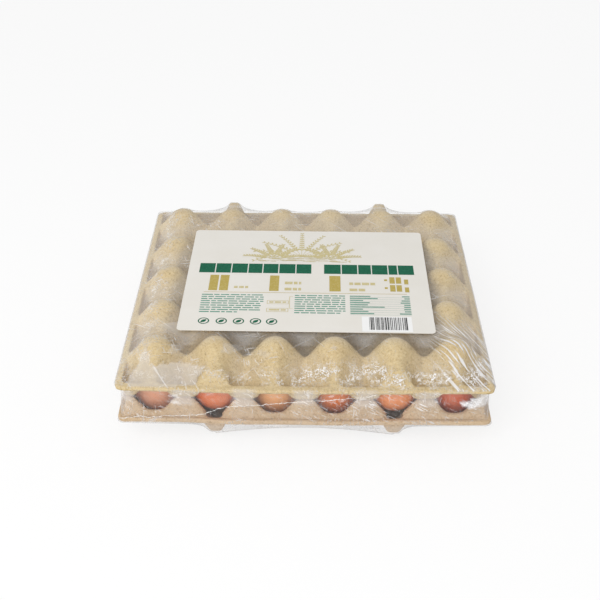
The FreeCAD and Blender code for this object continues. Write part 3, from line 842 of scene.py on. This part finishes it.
ink_piece("print_boxes", boxes, pale_gold_ink, 0.06)
ink_piece("print_panel", [bar(45, -82.6, 85.5, -60.5)], white_ink, 0.04)
bars, x = [], 51.0
while x < 81.0:
    width = float(rng.choice([0.33, 0.66, 0.99], p=[0.55, 0.3, 0.15]))
    bars.append(bar(x, -80.0, x + width, -61.5))
    x += width + float(rng.choice([0.33, 0.66, 0.99], p=[0.5, 0.35, 0.15]))
ink_piece("print_bars", bars, black_ink, 0.08)
print("bars:", len(bars))

# %% Sheaves over a hatched ground
def sheaf(x, y, stems, length, spread):
    """Stems with paired leaves that fan out from one point."""
    shapes = []
    for heading in np.radians(np.linspace(90 - spread, 90 + spread, stems)):
        bend = 0.012 * np.cos(heading)
        along = np.linspace(0, length, 12)
        turned = heading - bend * along
        path_x, path_y = x + along * np.cos(turned), y + along * np.sin(turned)
        shapes += stroke(np.column_stack([path_x, path_y]), 0.4)
        for k in range(3, 12):
            size = 5.2 * (1 - 0.4 * k / 11)
            for lean in (-0.6, 0.6):
                shapes.append(leaf(path_x[k], path_y[k], size, size * 0.2, turned[k] + lean))
    return shapes


sprigs = sheaf(-5.5, 36, 9, 42, 72) + sheaf(-30, 32, 6, 26, 62) + sheaf(20, 32, 6, 26, 62)
for _ in range(90):
    x, y, length = rng.uniform(-47, 28), rng.uniform(27, 36), rng.uniform(3, 9)
    sprigs.append(bar(x, y, x + length, y + 0.4))
ink_piece("print_sprigs", sprigs, pale_gold_ink, 0.06)
print("sprig shapes:", len(sprigs))

# %% [markdown]
# ## Studio
# A pale floor, a pale sky that lights the pack from all round, and one large soft lamp above and to
# the front left, so the cups get a light side and a shaded side. The lamp and the sky together are
# set so that a mid grey renders as a mid grey. The sky is white for the camera and for reflections,
# and the camera sees the floor as if lit from behind, with a faint share of the shadow left on it.

# %% Floor, sky and lamp
FLOOR = 3000                 # mm, half the floor's side
floor_corners = [(-FLOOR, -FLOOR, 0), (FLOOR, -FLOOR, 0), (FLOOR, FLOOR, 0), (-FLOOR, FLOOR, 0)]
floor = mesh_piece("studio_floor", floor_corners, [(0, 1, 2, 3)], smooth=False)
floor_material, floor_surface = new_material("painted_studio_floor")
floor_surface.inputs["Base Color"].default_value = linear("#FAFAFA")
floor_surface.inputs["Roughness"].default_value = 0.9
backlit = add_node(floor_material, "ShaderNodeEmission", {"Color": (1, 1, 1, 1), "Strength": 1.0})
floor_rays = add_node(floor_material, "ShaderNodeLightPath")
BACKLIT_SHARE = 0.8          # of the floor's look to the camera; the rest is paint, with the shadow
share = add_node(floor_material, "ShaderNodeMath", {
    0: floor_rays.outputs["Is Camera Ray"], 1: BACKLIT_SHARE}, operation="MULTIPLY")
both = add_node(floor_material, "ShaderNodeMixShader", {
    0: share.outputs["Value"], 1: floor_surface.outputs["BSDF"], 2: backlit.outputs["Emission"]})
floor_material.node_tree.links.new(
    both.outputs["Shader"], floor_material.node_tree.nodes["Material Output"].inputs["Surface"])
floor.data.materials.append(floor_material)

world = bpy.data.worlds.new("soft_sky")
bpy.context.scene.world = world
world.use_nodes = True
sky = world.node_tree.nodes["Background"]
rays = add_node(world, "ShaderNodeLightPath")
seen = add_node(world, "ShaderNodeMath", {
    0: rays.outputs["Is Camera Ray"], 1: rays.outputs["Is Glossy Ray"]}, operation="MAXIMUM")
SKY_LIGHT = 0.64
level = add_node(world, "ShaderNodeMapRange", {
    "Value": seen.outputs["Value"], "To Min": SKY_LIGHT, "To Max": 1.0})
world.node_tree.links.new(level.outputs["Result"], sky.inputs["Strength"])
sky.inputs["Color"].default_value = (1, 1, 1, 1)

lamp_data = bpy.data.lights.new("softbox", "AREA")
lamp_data.shape = "SQUARE"
lamp_data.size = 1.2
lamp_data.energy = 17.0
lamp = bpy.data.objects.new("softbox", lamp_data)
lamp.location = (-0.6, -1.25, 1.15)
lamp.rotation_euler = (Vector((0, 0, 0)) - lamp.location).to_track_quat("-Z", "Y").to_euler()
bpy.context.scene.collection.objects.link(lamp)

# %% [markdown]
# ## Camera
# The camera's place and lens come from fitting the trays' known corners to the photograph. It looks
# down at about 32 degrees from straight in front, three quarters of a metre away.

# %% Camera
camera_data = bpy.data.cameras.new("camera")
camera_data.sensor_width = 36.0
camera_data.lens = 65.56
camera = bpy.data.objects.new("camera", camera_data)
right = Vector((0.99994118, 0.00997713, 0.0042533))
down = Vector((0.00888877, -0.52915074, -0.84848128))
forward = Vector((-0.00621477, 0.84846918, -0.5292083))
turn = Matrix((right, -down, -forward)).transposed().to_4x4()
camera.matrix_world = Matrix.Translation((0.000975, -0.825231, 0.559315)) @ turn
bpy.context.scene.collection.objects.link(camera)
bpy.context.scene.camera = camera
bpy.context.scene.view_settings.view_transform = "Standard"
